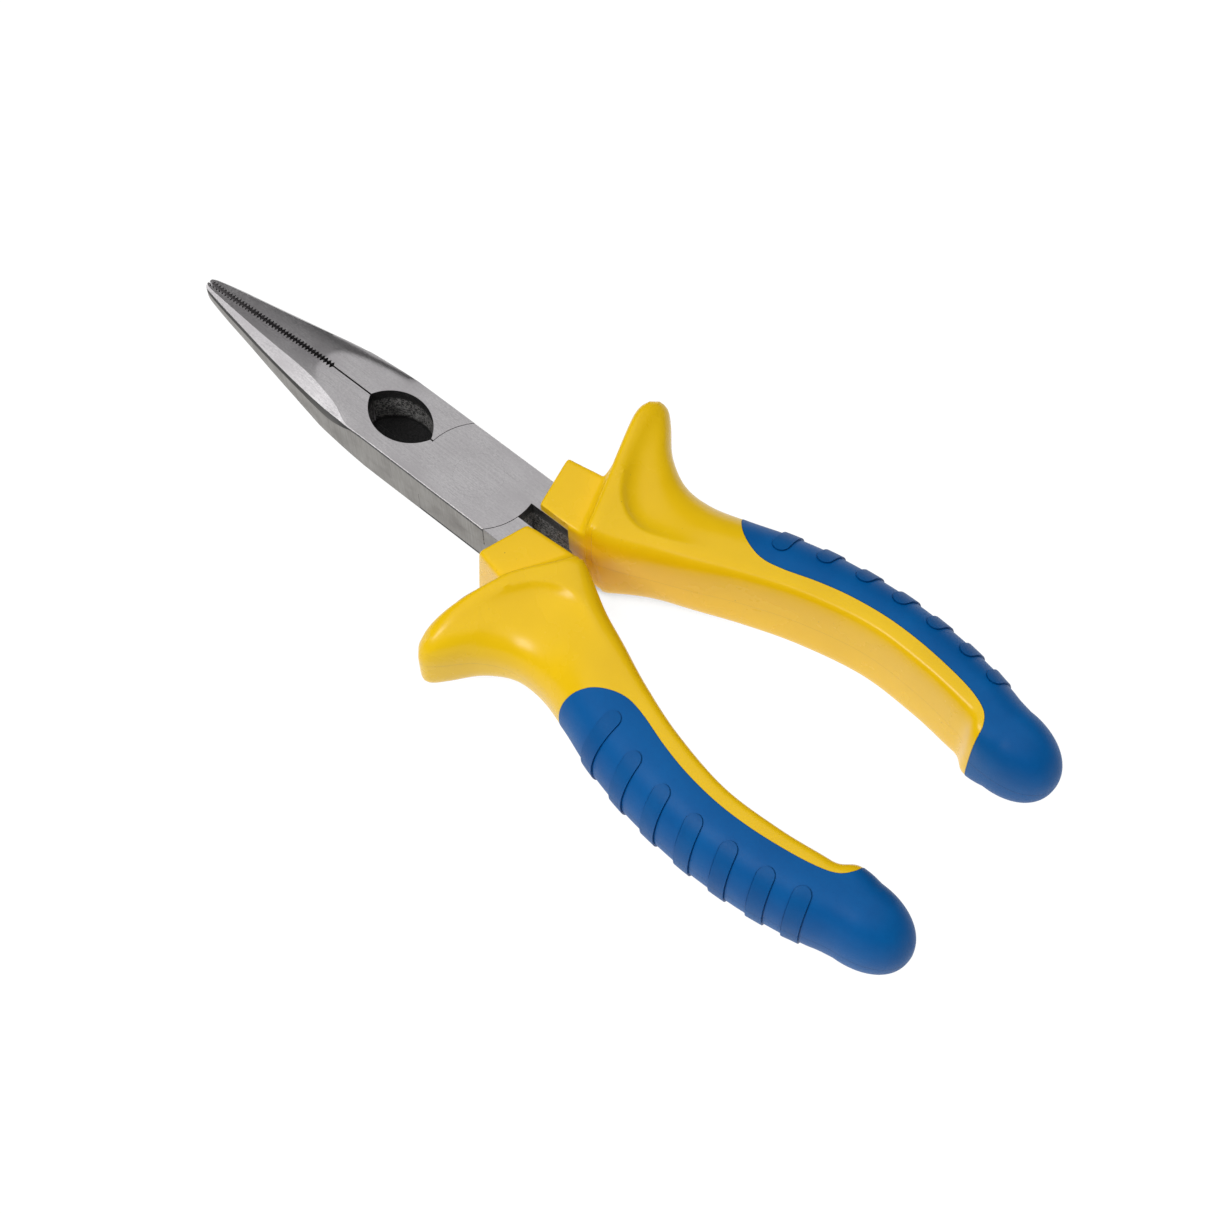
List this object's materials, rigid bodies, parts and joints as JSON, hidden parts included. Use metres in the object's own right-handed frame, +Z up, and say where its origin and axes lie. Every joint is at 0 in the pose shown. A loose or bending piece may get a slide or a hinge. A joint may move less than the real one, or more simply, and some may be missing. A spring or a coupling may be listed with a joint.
{
  "type": "needle nose pliers",
  "caption": "Long tapered toothed jaws with a pipe-grip hole behind them, a lap joint on a flush rivet, and curved two-colour moulded grips with finger guards and ribs.",
  "frame": {"origin": "on the hinge axis, in the flat underside of the lap joint", "axes": "+X towards the jaw tip, +Z up along the hinge axis, +Y towards the handle of half B"},
  "size_m": [0.18, 0.0652, 0.0206],
  "materials": {
    "forging_a": "ground and lightly brushed along the jaws",
    "forging_b": "ground and lightly brushed along the jaws",
    "joint_rivet": "ground flush with the joint",
    "grip_core_a": "smooth yellow moulding",
    "grip_core_b": "smooth yellow moulding",
    "grip_sleeve_a": "satin blue soft moulding with raised ribs",
    "grip_sleeve_b": "satin blue soft moulding with raised ribs"
  },
  "bodies": {
    "half_b": {"forging_b": "forging_b", "joint_rivet": "joint_rivet", "grip_core_b": "grip_core_b", "grip_sleeve_b": "grip_sleeve_b"},
    "half_a": {"forging_a": "forging_a", "grip_core_a": "grip_core_a", "grip_sleeve_a": "grip_sleeve_a"}
  },
  "joints": [
    {"name": "jaw_hinge", "type": "hinge", "parent": "half_b", "child": "half_a", "pos_m": [0, 0, 0.0052], "axis": [0, 0, 1], "range_deg": [0, 60]}
  ]
}
